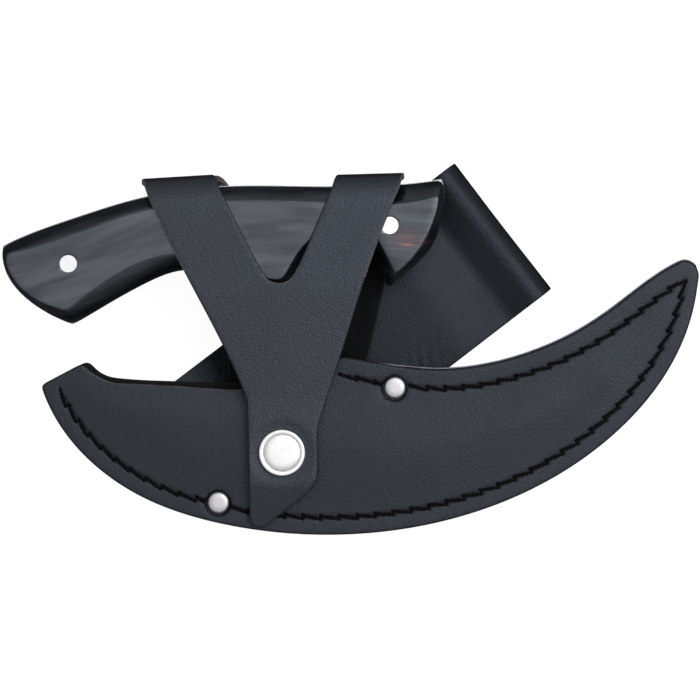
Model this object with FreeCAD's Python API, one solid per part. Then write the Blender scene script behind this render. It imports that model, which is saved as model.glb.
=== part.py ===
"""Crescent-bladed leather knife in its snap-strap sheath.

The set lies on its back: +X runs along the handle towards the blade's tip, +Y from the sheath's belly up to the
handle, and +Z out of the face of the sheath. The origin is under the middle of the whole, on the surface it lies on.
All sizes are in millimetres.
"""
import FreeCAD, Part
import math
import os

V = FreeCAD.Vector
UP = V(0, 0, 1)

# Leather and stock thicknesses
PANEL = 2.4            # sheath panels and belt loop
STRAP = 1.8            # retention strap
WELT = 3.6             # spacer between the panels
BLADE = 3.0            # knife plate
SCALE = 7.0            # each handle scale
SCALE_EDGE = 1.5       # straight part of a scale's side, below its bevel
GAP = 0.3              # air between leather and what slides past it

# Levels above the surface
BACK_PANEL_Z = 16.1
WELT_Z = BACK_PANEL_Z + PANEL
FRONT_PANEL_Z = WELT_Z + WELT
FACE_Z = FRONT_PANEL_Z + PANEL
BLADE_MID_Z = WELT_Z + WELT / 2
HANDLE_TOP_Z = BLADE_MID_Z + BLADE / 2 + SCALE
HANDLE_BOTTOM_Z = BLADE_MID_Z - BLADE / 2 - SCALE
FLAP_Z = HANDLE_TOP_Z + GAP
STRAP_BACK_Z = HANDLE_BOTTOM_Z - GAP - STRAP
STRAP_ROOT_Z = BACK_PANEL_Z - STRAP

# Sheath outline
BELLY = [(-86.5, -9.9), (-80.6, -22.0), (-60.5, -39.9), (-36.0, -48.6), (-8.0, -51.7),
         (33.6, -45.8), (67.2, -29.0), (90.7, -2.7), (97.4, 19.2)]
HORN_TIP = [(97.4, 19.2), (96.8, 23.5), (93.5, 25.1)]
HORN = [(93.5, 25.1), (84.0, 19.5), (73.9, 11.8), (63.8, 5.2), (43.7, -2.9), (24.1, -5.5), (8.0, -3.7), (-2.2, -1.8)]
LEFT_CORNER = (-74.4, -3.5)
BACK_NOTCH = [(-73.0, -3.6), (-70.8, -5.9), (-66.6, -7.8)]
FRONT_NOTCH = [(-75.2, -3.9), (-71.6, -6.8), (-66.6, -9.2)]
WELT_WIDTH = 6.6
BELLY_SEAM = 4.8       # from the edge to the stitches
HORN_SEAM = 5.3
STITCH_PITCH = 5.0
STITCH_LENGTH = 4.3
STITCH_WIDTH = 1.0
STITCH_HEIGHT = 0.7

# Fasteners
RIVETS = {"left": (-36.8, -42.7), "right": (12.6, -10.5)}
RIVET_R = 3.0
RIVET_TUBE_R = 1.6
RIVET_POST_R = 1.0
SNAP = (-19.0, -28.7)
SNAP_R = 6.6
SNAP_BASE_R = 5.0
SNAP_SHANK_R = 1.5
SNAP_LIFT = 3.5        # height of the flap over the sheath at the snap
PINS = {"left": (-78.7, 24.1), "right": (11.1, 34.8)}
PIN_R = 2.4

# Strap
STRAP_FOLD_Y = 48.8    # crest of the strap over the handle
BEND_R = 4.2           # outer radius of its two bends
STRAP_CUT_Y = STRAP_FOLD_Y - BEND_R    # where the flat leather ends and the bends begin

# Belt loop: a strip at a slant, folded back on itself
LOOP_ANGLE = 37.5      # degrees from +X
LOOP_SIDES = (-23.0, 20.9)
LOOP_END = 55.6        # crest of the fold, along the strip
LOOP_GAP = 4.6
LOOP_HEM = -50.0       # sewn end, along the strip
LOOP_SEAM = -43.0      # where the two legs meet


def edge(points, z):
    """Straight edge through two points, arc through three, smooth curve through more."""
    p = [V(x, y, z) for x, y in points]
    if len(p) == 2:
        return Part.LineSegment(p[0], p[1]).toShape()
    if len(p) == 3:
        return Part.Arc(p[0], p[1], p[2]).toShape()
    curve = Part.BSplineCurve()
    curve.interpolate(p)
    return curve.toShape()


def outline(runs, z):
    """Closed wire of the runs of points, each run starting where the last one ends."""
    return Part.Wire([edge(run, z) for run in runs])


def plate(runs, z, thickness):
    return Part.Face(outline(runs, z)).extrude(V(0, 0, thickness))


def polygon(points):
    """The runs of a closed outline with straight sides."""
    return [[a, b] for a, b in zip(points, points[1:] + points[:1])]


def loft(runs_a, z_a, runs_b, z_b):
    return Part.makeLoft([outline(runs_a, z_a), outline(runs_b, z_b)], True, True)


def inset(points, distance):
    """Points moved square to their curve, to the left of its direction."""
    moved = []
    for i, (x, y) in enumerate(points):
        before = points[max(i - 1, 0)]
        after = points[min(i + 1, len(points) - 1)]
        dx = after[0] - before[0]
        dy = after[1] - before[1]
        length = math.hypot(dx, dy)
        moved.append((x - dy / length * distance, y + dx / length * distance))
    return moved


def disc(centre, radius, z, height):
    return Part.makeCylinder(radius, height, V(centre[0], centre[1], z), UP)


def turned(centre, profile):
    """Solid turned about a vertical line through centre, from a profile of (radius, z)."""
    points = [V(r, 0, z) for r, z in profile]
    face = Part.Face(Part.makePolygon(points + points[:1]))
    solid = face.revolve(V(0, 0, 0), UP, 360)
    solid.translate(V(centre[0], centre[1], 0))
    return solid


def flipped(shape):
    """The same shape turned over about the blade's middle plane."""
    return shape.mirror(V(0, 0, BLADE_MID_Z), UP)


def band(path, thickness, x0, x1):
    """Sheet that follows a path of (y, z) along its underside, as wide as x0 to x1."""
    under = [V(x0, y, z) for y, z in path]
    over = [V(x0, y, z + thickness) for y, z in reversed(path)]
    loop = Part.makePolygon(under + over + under[:1])
    return Part.Face(loop).extrude(V(x1 - x0, 0, 0))


def save(name, shape):
    shape.exportStep("parts/" + name + ".step")


# Knife ---------------------------------------------------------------------------------------------------------------

HANDLE = [
    [(-77.8, 7.2), (-82.9, 9.4), (-91.3, 15.0), (-95.8, 20.6), (-97.4, 26.0), (-97.2, 29.3)],
    [(-97.2, 29.3), (-90.7, 32.3), (-77.3, 37.1), (-63.8, 41.4), (-42.0, 45.5), (-6.7, 45.9), (15.4, 46.6),
     (25.6, 47.9)],
    [(25.6, 47.9), (26.5, 43.7), (25.5, 37.4), (24.4, 31.9), (19.6, 25.0), (10.9, 17.8)],
    [(10.9, 17.8), (7.3, 25.6), (3.2, 30.6), (-2.5, 31.6), (-7.5, 27.5), (-12.0, 20.3), (-17.0, 15.0)],
    [(-17.0, 15.0), (-24.0, 16.6), (-34.0, 20.0), (-47.0, 22.4), (-57.1, 18.9), (-67.0, 13.5), (-77.8, 7.2)],
]
FACE = [
    [(-79.2, 10.8), (-84.6, 12.5), (-89.5, 15.0), (-93.7, 19.0), (-96.3, 24.5), (-96.3, 27.0)],
    [(-96.3, 27.0), (-84.6, 30.1), (-74.8, 33.5), (-60.0, 38.5), (-42.0, 41.4), (-6.7, 41.4), (13.4, 41.0),
     (24.9, 43.5)],
    [(24.9, 43.5), (24.8, 41.0), (23.6, 36.5), (21.3, 31.2), (17.4, 25.5), (12.7, 21.2)],
    [(12.7, 21.2), (9.0, 28.5), (4.5, 34.0), (-3.0, 35.0), (-9.8, 31.6), (-13.2, 28.8), (-16.2, 24.5), (-18.8, 19.4)],
    [(-18.8, 19.4), (-24.0, 20.0), (-33.0, 23.8), (-47.5, 26.8), (-58.8, 24.2), (-69.4, 18.3), (-79.2, 10.8)],
]
CUTTING_EDGE = [(-73.5, -13.0), (-63.5, -25.5), (-47.5, -35.5), (-33.0, -40.2), (-5.0, -43.6), (26.0, -39.4),
                (54.0, -27.0), (76.0, -7.5), (87.2, 11.5)]
SPINE = [(87.2, 11.5), (79.0, 6.2), (62.0, -5.0), (44.0, -12.0), (24.0, -14.6), (8.0, -15.0), (-15.0, -14.0),
         (-45.0, -13.5), (-73.5, -13.0)]
NECK = [
    [(-28.0, -20.0), (-28.0, -13.5)],
    [(-28.0, -13.5), (-25.0, 2.0), (-28.0, 21.0)],
    [(-28.0, 21.0), (-14.0, 30.0)],
    [(-14.0, 30.0), (-7.5, 4.0), (-6.0, -9.0), (4.0, -15.5)],
    [(4.0, -15.5), (4.0, -20.0)],
    [(4.0, -20.0), (-28.0, -20.0)],
]
EDGE_BEVEL = 9.0
EDGE_LAND = 0.3


def bevel_line():
    """Line on the blade's face where the bevel starts: it meets the edge at both tips."""
    deep = inset(CUTTING_EDGE, EDGE_BEVEL)
    count = len(deep) - 1
    line = []
    for i, (near, far) in enumerate(zip(CUTTING_EDGE, deep)):
        share = math.sin(math.pi * i / count) ** 0.5
        line.append((near[0] + (far[0] - near[0]) * share, near[1] + (far[1] - near[1]) * share))
    return line


def make_blade():
    sharp = [CUTTING_EDGE, SPINE]
    flat = [bevel_line(), SPINE]
    land_z = BLADE_MID_Z - EDGE_LAND / 2
    crescent = plate(sharp, land_z, EDGE_LAND)
    bevel = loft(sharp, BLADE_MID_Z + EDGE_LAND / 2, flat, BLADE_MID_Z + BLADE / 2)
    low_z = BLADE_MID_Z - BLADE / 2
    blade = plate(HANDLE, low_z, BLADE)
    blade = blade.fuse([plate(NECK, low_z, BLADE), crescent, bevel, flipped(bevel)])
    for pin in PINS.values():
        blade = blade.cut(disc(pin, PIN_R, low_z - 1, BLADE + 2))
    return blade.removeSplitter()


def make_scale():
    start = BLADE_MID_Z + BLADE / 2
    side = plate(HANDLE, start, SCALE_EDGE)
    top = loft(HANDLE, start + SCALE_EDGE, FACE, start + SCALE)
    scale = side.fuse(top)
    for pin in PINS.values():
        scale = scale.cut(disc(pin, PIN_R, start - 1, SCALE + 2))
    return scale.removeSplitter()


def make_pin(centre):
    return disc(centre, PIN_R, HANDLE_BOTTOM_Z, HANDLE_TOP_Z - HANDLE_BOTTOM_Z)


# Sheath --------------------------------------------------------------------------------------------------------------

def panel_runs(mouth, left_end):
    """Outline of a panel: belly, horn, then its own mouth edge and what follows it round to the belly."""
    return [BELLY, HORN_TIP, HORN, mouth] + left_end


FRONT_MOUTH = [(-2.2, -1.8), (-9.0, -5.0), (-19.0, -9.6), (-30.0, -11.1), (-46.8, -10.2), (-60.0, -9.5),
               (-66.6, -9.2)]
BACK_MOUTH = [(-2.2, -1.8), (-9.0, -4.4), (-19.0, -8.0), (-30.0, -9.2), (-46.8, -8.9), (-60.0, -8.4),
              (-66.6, -7.8)]
FRONT_LEFT = [FRONT_NOTCH[::-1], [FRONT_NOTCH[0], BELLY[0]]]
BACK_LEFT = [BACK_NOTCH[::-1], [BACK_NOTCH[0], LEFT_CORNER], [LEFT_CORNER, BELLY[0]]]


def rivet_holes(z, depth):
    return [disc(centre, RIVET_TUBE_R, z - 1, depth + 2) for centre in RIVETS.values()]


def make_front_panel():
    panel = plate(panel_runs(FRONT_MOUTH, FRONT_LEFT), FRONT_PANEL_Z, PANEL)
    flange = disc(SNAP, SNAP_BASE_R - 1, FRONT_PANEL_Z - 1, 1.6)
    shank = disc(SNAP, SNAP_SHANK_R, FRONT_PANEL_Z - 1, PANEL + 2)
    return panel.cut([flange, shank] + rivet_holes(FRONT_PANEL_Z, PANEL))


def make_back_panel():
    panel = plate(panel_runs(BACK_MOUTH, BACK_LEFT), BACK_PANEL_Z, PANEL)
    return panel.cut(rivet_holes(BACK_PANEL_Z, PANEL))


def make_welt():
    """Strip along belly, tip and horn, open along the mouth where the blade goes in."""
    belly_inner = inset(BELLY, WELT_WIDTH)[1:-1]
    horn_inner = inset(HORN, WELT_WIDTH)[2:]
    start = (-80.6, -6.7)
    inner_tip = (88.9, 13.2)
    runs = [BELLY, HORN_TIP, HORN, [HORN[-1], horn_inner[-1]],
            horn_inner[::-1] + [inner_tip], [inner_tip] + belly_inner[::-1] + [start], [start, BELLY[0]]]
    lobes = [disc(centre, RIVET_R, WELT_Z, WELT) for centre in RIVETS.values()]
    welt = plate(runs, WELT_Z, WELT).fuse(lobes)
    return welt.cut(rivet_holes(WELT_Z, WELT)).removeSplitter()


def stitch(middle, heading, z):
    """One visible stitch: a flat-bottomed bar with round ends, along a heading in degrees."""
    half = STITCH_LENGTH / 2 - STITCH_WIDTH / 2
    r = STITCH_WIDTH / 2
    runs = [[(-half, -r), (half, -r)], [(half, -r), (half + r, 0), (half, r)],
            [(half, r), (-half, r)], [(-half, r), (-half - r, 0), (-half, -r)]]
    bar = plate(runs, z, STITCH_HEIGHT)
    bar.rotate(V(0, 0, 0), UP, heading)
    bar.translate(V(middle[0], middle[1], 0))
    return bar


def stitches_along(points, z, keep_off):
    """Stitches at an even pitch along the curve, left out where they would run under a round piece."""
    curve = edge(points, 0)
    count = int(curve.Length / STITCH_PITCH)
    bars = []
    for i in range(count):
        at = curve.getParameterByLength((i + 0.5) * curve.Length / count)
        p = curve.valueAt(at)
        t = curve.tangentAt(at)
        clear = min(math.hypot(p.x - x, p.y - y) - r for (x, y), r in keep_off)
        if clear > STITCH_LENGTH / 2 + 0.2:
            bars.append(stitch((p.x, p.y), math.degrees(math.atan2(t.y, t.x)), z))
    return bars


def make_edge_thread(z):
    """Stitches of the lower row, round the tip, and back along the upper row."""
    keep_off = [(centre, RIVET_R) for centre in RIVETS.values()]
    apex = (93.7, 19.6)
    lower = [(-81.5, -11.0)] + inset(BELLY, BELLY_SEAM)[1:-1] + [apex]
    upper = [apex] + inset(HORN, HORN_SEAM)[1:]
    return Part.makeCompound(stitches_along(lower, z, keep_off) + stitches_along(upper, z, keep_off))


def make_rivet_cap(centre):
    """Front half of a double-cap rivet: domed cap with a tube that takes the post."""
    top = FACE_Z + 1.3
    profile = [(RIVET_POST_R + 0.05, BACK_PANEL_Z + 1.0), (RIVET_TUBE_R, BACK_PANEL_Z + 1.0),
               (RIVET_TUBE_R, FACE_Z), (RIVET_R + 0.5, FACE_Z), (RIVET_R + 0.5, FACE_Z + 0.3),
               (RIVET_R, FACE_Z + 0.9), (RIVET_R - 1.2, top), (0, top), (0, FACE_Z - 0.8),
               (RIVET_POST_R + 0.05, FACE_Z - 0.8)]
    return turned(centre, profile)


def make_rivet_post(centre):
    low = BACK_PANEL_Z - 1.2
    profile = [(0, low), (RIVET_R - 1.2, low), (RIVET_R, low + 0.4), (RIVET_R + 0.5, low + 0.9),
               (RIVET_R + 0.5, BACK_PANEL_Z), (RIVET_POST_R, BACK_PANEL_Z), (RIVET_POST_R, FACE_Z - 1.0),
               (0, FACE_Z - 1.0)]
    return turned(centre, profile)


# Snap ----------------------------------------------------------------------------------------------------------------

FLAP_SNAP_Z = FACE_Z + SNAP_LIFT
STUD_R = 2.2
STUD_TOP = FACE_Z + 2.5


def make_snap_stud():
    """Stud on the face of the sheath, with the waist that the socket's spring grips."""
    profile = [(SNAP_SHANK_R, FACE_Z), (SNAP_BASE_R, FACE_Z), (SNAP_BASE_R, FACE_Z + 0.4), (STUD_R, FACE_Z + 0.8),
               (STUD_R - 0.3, FACE_Z + 1.5), (STUD_R, FACE_Z + 2.0), (SNAP_SHANK_R, STUD_TOP)]
    return turned(SNAP, profile)


def make_snap_post():
    """Eyelet that holds the stud: its flange is let into the inside of the front panel."""
    flange = disc(SNAP, SNAP_BASE_R - 1, FRONT_PANEL_Z, 0.6)
    return flange.fuse(disc(SNAP, SNAP_SHANK_R, FRONT_PANEL_Z, STUD_TOP - FRONT_PANEL_Z)).removeSplitter()


def make_snap_socket():
    """Ring under the flap that snaps over the stud."""
    profile = [(STUD_R + 0.4, FACE_Z + 1.1), (SNAP_BASE_R - 0.4, FACE_Z + 1.1), (SNAP_BASE_R, FACE_Z + 1.5),
               (SNAP_BASE_R, FLAP_SNAP_Z), (STUD_R + 0.4, FLAP_SNAP_Z)]
    return turned(SNAP, profile)


def make_snap_cap():
    """Plain cap on the flap: a rolled rim, a groove and a low dome, with a shank through the leather."""
    z = FLAP_SNAP_Z + STRAP
    profile = [(0, FLAP_SNAP_Z - 0.5), (SNAP_SHANK_R, FLAP_SNAP_Z - 0.5), (SNAP_SHANK_R, z), (SNAP_R, z),
               (SNAP_R, z + 0.6), (SNAP_R - 0.5, z + 1.1), (SNAP_R - 1.1, z + 1.1), (SNAP_R - 1.4, z + 0.8),
               (SNAP_R - 1.8, z + 1.1), (0, z + 1.4)]
    return turned(SNAP, profile)


# Strap ---------------------------------------------------------------------------------------------------------------

ARM_L = (-56.7, -36.4)     # left arm of the Y, outer and inner side where its bend begins
ARM_R = (13.7, -5.3)       # right arm
CREST_L = (-58.3, -38.3)   # the same at the crest of the bend
CREST_R = (15.2, -3.6)
FLAP_TIP_Y = -49.4


def flap_runs():
    cut = STRAP_CUT_Y
    return [
        [(ARM_L[0], cut), (-47.6, 24.5), (-35.3, 1.0), (-28.7, -14.1)],
        [(-28.7, -14.1), (-28.0, -46.3)],
        [(-28.0, -46.3), (-26.6, -49.2), (-23.6, FLAP_TIP_Y + 0.3)],
        [(-23.6, FLAP_TIP_Y + 0.3), (-12.9, -40.6)],
        [(-12.9, -40.6), (-10.0, -37.3), (-9.0, -33.5)],
        [(-9.0, -33.5), (-9.2, -22.3)],
        [(-9.2, -22.3), (-7.0, -15.0), (-2.8, -2.1), (4.8, 22.0), (ARM_R[0], cut)],
        [(ARM_R[0], cut), (ARM_R[1], cut)],
        [(ARM_R[1], cut), (-15.2, 21.6)],
        [(-15.2, 21.6), (-19.9, 18.6), (-24.3, 21.2)],
        [(-24.3, 21.2), (ARM_L[1], cut)],
        [(ARM_L[1], cut), (ARM_L[0], cut)],
    ]


def make_strap_flap():
    """Y-shaped front of the strap: level over the handle, then down to the snap and on to the sheath."""
    path = [(STRAP_CUT_Y, FLAP_Z), (16.0, FLAP_Z), (-14.0, FLAP_SNAP_Z), (-37.0, FLAP_SNAP_Z),
            (FLAP_TIP_Y - 1, FACE_Z + 0.6)]
    sheet = band(path, STRAP, -70, 30)
    flap = sheet.common(plate(flap_runs(), FACE_Z, 12))
    return flap.cut(disc(SNAP, SNAP_SHANK_R, FACE_Z, 12))


def make_strap_bends():
    """The two stretches that bend round the top of the handle, from the flap to the back of the strap."""
    low = STRAP_BACK_Z
    high = FLAP_Z + STRAP
    cut = STRAP_CUT_Y
    r = BEND_R
    ri = r - STRAP

    def corner(z, radius, turn):
        """Points of a quarter bend about a centre at the cut and height z, from flat to upright."""
        c = math.sqrt(0.5)
        return [(cut, z + turn * radius), (cut + radius * c, z + turn * radius * c), (cut + radius, z)]

    def bend(points):
        return Part.Arc(*[V(-70, y, z) for y, z in points]).toShape()

    def straight(a, b):
        return Part.LineSegment(V(-70, a[0], a[1]), V(-70, b[0], b[1])).toShape()

    over = corner(high - r, r, 1)
    under = corner(low + r, r, -1)
    over_in = corner(high - r, ri, 1)
    under_in = corner(low + r, ri, -1)
    section = [bend(over), straight(over[2], under[2]), bend(under[::-1]), straight(under[0], under_in[0]),
               bend(under_in), straight(under_in[2], over_in[2]), bend(over_in[::-1]),
               straight(over_in[0], over[0])]
    hoop = Part.Face(Part.Wire(section)).extrude(V(100, 0, 0))
    bends = []
    for arm, top in ((ARM_L, CREST_L), (ARM_R, CREST_R)):
        quad = [(arm[0], cut), (arm[1], cut), (top[1], STRAP_FOLD_Y), (top[0], STRAP_FOLD_Y)]
        bends.append(hoop.common(plate(polygon(quad), 0, 40)))
    return Part.makeCompound(bends)


def loop_point(along, across):
    """Point of the slanting belt-loop strip, as (x, y)."""
    a = math.radians(LOOP_ANGLE)
    return (along * math.cos(a) + across * math.sin(a), along * math.sin(a) - across * math.cos(a))


def make_strap_back():
    """Back of the strap: two legs behind the handle, and a root sewn to the back panel."""
    cut = STRAP_CUT_Y
    runs = [
        [(ARM_L[0], cut), (-46.8, 24.5), (-38.5, 8.5), (-34.2, 0.0)],
        [(-34.2, 0.0), (-34.2, -11.5)],
        [(-34.2, -11.5), (-51.5, -11.5)],
        [(-51.5, -11.5), loop_point(LOOP_HEM, -19.0)],
        [loop_point(LOOP_HEM, -19.0), loop_point(LOOP_HEM, 15.0)],
        [loop_point(LOOP_HEM, 15.0), (-3.5, -27.0)],
        [(-3.5, -27.0), (-3.5, -5.6)],
        [(-3.5, -5.6), (4.9, -2.6)],
        [(4.9, -2.6), (9.5, 17.5)],
        [(9.5, 17.5), (ARM_R[0], cut)],
        [(ARM_R[0], cut), (ARM_R[1], cut)],
        [(ARM_R[1], cut), (-17.2, 30.0)],
        [(-17.2, 30.0), (-20.6, 28.3), (-24.0, 30.0)],
        [(-24.0, 30.0), (ARM_L[1], cut)],
        [(ARM_L[1], cut), (ARM_L[0], cut)],
    ]
    path = [(-60.0, STRAP_ROOT_Z), (-4.0, STRAP_ROOT_Z), (14.0, STRAP_BACK_Z), (cut, STRAP_BACK_Z)]
    return band(path, STRAP, -70, 30).common(plate(runs, 0, 30))


def sewn_row(start, end, z):
    """Even row of stitches from start to end."""
    dx = end[0] - start[0]
    dy = end[1] - start[1]
    count = int(math.hypot(dx, dy) / STITCH_PITCH)
    heading = math.degrees(math.atan2(dy, dx))
    return [stitch((start[0] + dx * (i + 0.5) / count, start[1] + dy * (i + 0.5) / count), heading, z)
            for i in range(count)]


def make_strap_thread():
    z = STRAP_ROOT_Z - STITCH_HEIGHT
    return Part.makeCompound(sewn_row((-26.0, -24.5), (-5.0, -24.5), z) + sewn_row((-26.0, -12.0), (-5.0, -12.0), z))


# Belt loop -----------------------------------------------------------------------------------------------------------

def make_belt_loop():
    """Strip folded back on itself: both legs are sewn together under the root of the strap."""
    thick = PANEL
    high = 2 * thick + LOOP_GAP
    r = high / 2
    ri = LOOP_GAP / 2
    bend = LOOP_END - r
    root = STRAP_ROOT_Z

    def at(along, z):
        x, y = loop_point(along, LOOP_SIDES[0])
        return V(x, y, z)

    def line(*points):
        return [Part.LineSegment(at(*a), at(*b)).toShape() for a, b in zip(points, points[1:])]

    def arc(a, b, c):
        return [Part.Arc(at(*a), at(*b), at(*c)).toShape()]

    edges = arc((bend, high), (LOOP_END, r), (bend, 0))
    edges += line((bend, 0), (-24.0, 0), (LOOP_SEAM, root - 2 * thick), (LOOP_HEM, root - 2 * thick),
                  (LOOP_HEM, root), (LOOP_SEAM, root), (-28.0, high), (bend, high))
    shape = Part.Face(Part.Wire(edges))
    slot = arc((bend, thick + LOOP_GAP), (bend + ri, r), (bend, thick))
    slot += line((bend, thick), (-23.0, thick), (LOOP_SEAM, root - thick), (-28.0, thick + LOOP_GAP),
                 (bend, thick + LOOP_GAP))
    shape = shape.cut(Part.Face(Part.Wire(slot)))
    a = math.radians(LOOP_ANGLE)
    width = LOOP_SIDES[1] - LOOP_SIDES[0]
    return shape.extrude(V(math.sin(a) * width, -math.cos(a) * width, 0))


def make_belt_loop_thread():
    z = STRAP_ROOT_Z - 2 * PANEL - STITCH_HEIGHT
    middle = (LOOP_SEAM + LOOP_HEM) / 2
    start = loop_point(middle, LOOP_SIDES[0] + 4)
    end = loop_point(middle, LOOP_SIDES[1] - 4)
    return Part.makeCompound(sewn_row(start, end, z))


os.makedirs("parts", exist_ok=True)

save("blade", make_blade())
scale = make_scale()
save("handle_scale_front", scale)
save("handle_scale_back", flipped(scale))
save("sheath_front_panel", make_front_panel())
save("sheath_back_panel", make_back_panel())
save("sheath_welt", make_welt())
save("edge_thread_front", make_edge_thread(FACE_Z))
save("edge_thread_back", make_edge_thread(BACK_PANEL_Z - STITCH_HEIGHT))
for side in ("left", "right"):
    save("handle_pin_" + side, make_pin(PINS[side]))
    save("rivet_cap_" + side, make_rivet_cap(RIVETS[side]))
    save("rivet_post_" + side, make_rivet_post(RIVETS[side]))
save("snap_stud", make_snap_stud())
save("snap_post", make_snap_post())
save("snap_socket", make_snap_socket())
save("snap_cap", make_snap_cap())
save("strap_flap", make_strap_flap())
save("strap_bends", make_strap_bends())
save("strap_back", make_strap_back())
save("strap_thread", make_strap_thread())
save("belt_loop", make_belt_loop())
save("belt_loop_thread", make_belt_loop_thread())
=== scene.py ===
"""Looks of the crescent-bladed leather knife and its sheath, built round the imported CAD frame.

Positions are worked out in millimetres and turned into metres when a mesh is made. The set lies on its back,
+X along the handle, +Y from the sheath's belly to the handle, +Z out of the sheath's face.
"""
import math
import bpy
import numpy as np
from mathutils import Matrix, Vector
from mathutils.geometry import delaunay_2d_cdt


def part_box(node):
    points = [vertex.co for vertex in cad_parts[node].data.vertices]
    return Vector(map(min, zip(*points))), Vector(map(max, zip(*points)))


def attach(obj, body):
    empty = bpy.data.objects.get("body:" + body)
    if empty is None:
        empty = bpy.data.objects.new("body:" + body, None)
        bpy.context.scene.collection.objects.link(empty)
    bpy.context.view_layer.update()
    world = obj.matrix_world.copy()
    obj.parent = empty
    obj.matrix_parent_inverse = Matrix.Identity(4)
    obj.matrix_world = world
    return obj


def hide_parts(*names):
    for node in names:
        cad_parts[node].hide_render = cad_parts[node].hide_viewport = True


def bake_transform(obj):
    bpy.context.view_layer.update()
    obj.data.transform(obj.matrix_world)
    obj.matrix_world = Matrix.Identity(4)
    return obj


MM = 0.001  # metres in one
EDGE_STEP = 0.9  # between points along an outline
FINE_GAP = 0.3  # least gap between the added points of a sheet
CORNER = 30.0  # degrees of turn that make a corner of an outline
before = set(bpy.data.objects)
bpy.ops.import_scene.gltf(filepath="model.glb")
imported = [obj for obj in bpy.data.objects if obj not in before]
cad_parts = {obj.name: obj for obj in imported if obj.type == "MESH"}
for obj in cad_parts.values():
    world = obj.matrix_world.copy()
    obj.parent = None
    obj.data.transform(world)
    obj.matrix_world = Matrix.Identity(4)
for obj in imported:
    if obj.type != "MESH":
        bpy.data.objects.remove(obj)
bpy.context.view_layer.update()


# Sizes -----------------------

def box_mm(node):
    low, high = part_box(node)
    return np.array(low) / MM, np.array(high) / MM


def middle(node):
    low, high = box_mm(node)
    return (low + high) / 2


FACE_Z = box_mm("sheath_front_panel")[1][2]
BACK_Z = box_mm("sheath_back_panel")[0][2]
PANEL = FACE_Z - box_mm("sheath_front_panel")[0][2]  # thickness of all other leather
RIVETS = {side: middle("rivet_cap_" + side)[:2] for side in ("left", "right")}
PINS = {side: middle("handle_pin_" + side)[:2] for side in ("left", "right")}
SNAP = middle("snap_cap")[:2]
SNAP_R = 6.6
RIVET_R = 3.0
STRAP = 1.8  # thickness of the strap's leather
STRAP_CUT_Y = box_mm("strap_flap")[1][1]
STRAP_TOP = box_mm("strap_flap")[1][2]
STRAP_LOW = box_mm("strap_back")[0][2]
FOLD_Y = box_mm("strap_bends")[1][1]
STRAP_MID_Z = (STRAP_TOP + STRAP_LOW) / 2
LOOP_ANGLE = math.radians(37.5)  # of the belt loop's length, off +X


# Curves in the plane ---------

def ease(low, high, x):
    t = np.clip((x - low) / (high - low), 0, 1)
    return t * t * (3 - 2 * t)


def bell(x, width):
    return np.exp(-(np.asarray(x) / width) ** 2)


def norms(vectors):
    return np.linalg.norm(vectors, axis=1)


def area(loop):
    x, y = loop.T
    return 0.5 * np.sum(x * np.roll(y, -1) - y * np.roll(x, -1))


def edge_loop(node, facing, level=None):
    """Outer edge, in plan, of what faces up (1) or down (-1) on a CAD node, anticlockwise."""
    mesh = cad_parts[node].data
    mesh.calc_loop_triangles()
    points = np.array([v.co for v in mesh.vertices]) / MM
    tri = points[np.array([t.vertices for t in mesh.loop_triangles])]
    normal = np.cross(tri[:, 1] - tri[:, 0], tri[:, 2] - tri[:, 0])
    keep = normal[:, 2] * facing > 0.5 * norms(normal)
    if level is not None:
        keep &= np.abs(tri[:, :, 2] - level).max(axis=1) < 0.05
    flat = np.round(tri[keep][:, :, :2], 3).reshape(-1, 2)
    plan, index = np.unique(flat, axis=0, return_inverse=True)
    sides = set()
    for a, b, c in index.reshape(-1, 3).tolist():
        sides.update(((a, b), (b, c), (c, a)))
    after = {a: b for a, b in sorted(sides) if (b, a) not in sides}
    loops = []
    while after:
        start, here = after.popitem()
        chain = [start]
        while here != start:
            chain.append(here)
            here = after.pop(here)
        loops.append(plan[chain])
    best = max(loops, key=lambda p: abs(area(p)))
    return best if area(best) > 0 else best[::-1]


def turns(loop):
    """Turn at each point of a closed loop, in degrees."""
    into = loop - np.roll(loop, 1, axis=0)
    out = np.roll(loop, -1, axis=0) - loop
    cross = into[:, 0] * out[:, 1] - into[:, 1] * out[:, 0]
    return np.abs(np.degrees(np.arctan2(cross, (into * out).sum(axis=1))))


def runs_of(loop, start=None):
    """The loop cut at its corners into runs, the first one starting at the corner nearest start."""
    ids = np.flatnonzero(turns(loop) > CORNER)
    if start is not None:
        first = np.argmin(norms(loop[ids] - np.array(start)))
        ids = np.roll(ids, -first)
    loop = np.roll(loop, -ids[0], axis=0)
    ids = [*((ids - ids[0]) % len(loop)), len(loop)]
    closed = np.vstack([loop, loop[:1]])
    return [closed[a:b + 1] for a, b in zip(ids, ids[1:])]


def lengths(run):
    """Length along an open run at each of its points."""
    return np.concatenate([[0], np.cumsum(norms(np.diff(run, axis=0)))])


def even(run, count):
    """count points along an open run, without its last one."""
    length = lengths(run)
    at = np.linspace(0, length[-1], count, endpoint=False)
    return np.stack([np.interp(at, length, run[:, i]) for i in range(run.shape[1])], axis=1)


def soften(loop, times):
    """The closed loop with each point drawn towards its neighbours."""
    for _ in range(times):
        loop = (np.roll(loop, 1, axis=0) + 2 * loop + np.roll(loop, -1, axis=0)) / 4
    return loop


def resample(loop, soft=2):
    """Even points round a closed loop, its corners a little rounded."""
    runs = [even(run, max(1, round(lengths(run)[-1] / EDGE_STEP))) for run in runs_of(loop)]
    return soften(np.vstack(runs), soft)


def inward(loop):
    """Unit vectors into an anticlockwise loop at each of its points."""
    d = np.roll(loop, -1, axis=0) - np.roll(loop, 1, axis=0)
    return np.stack([-d[:, 1], d[:, 0]], axis=1) / norms(d)[:, None]


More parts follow.
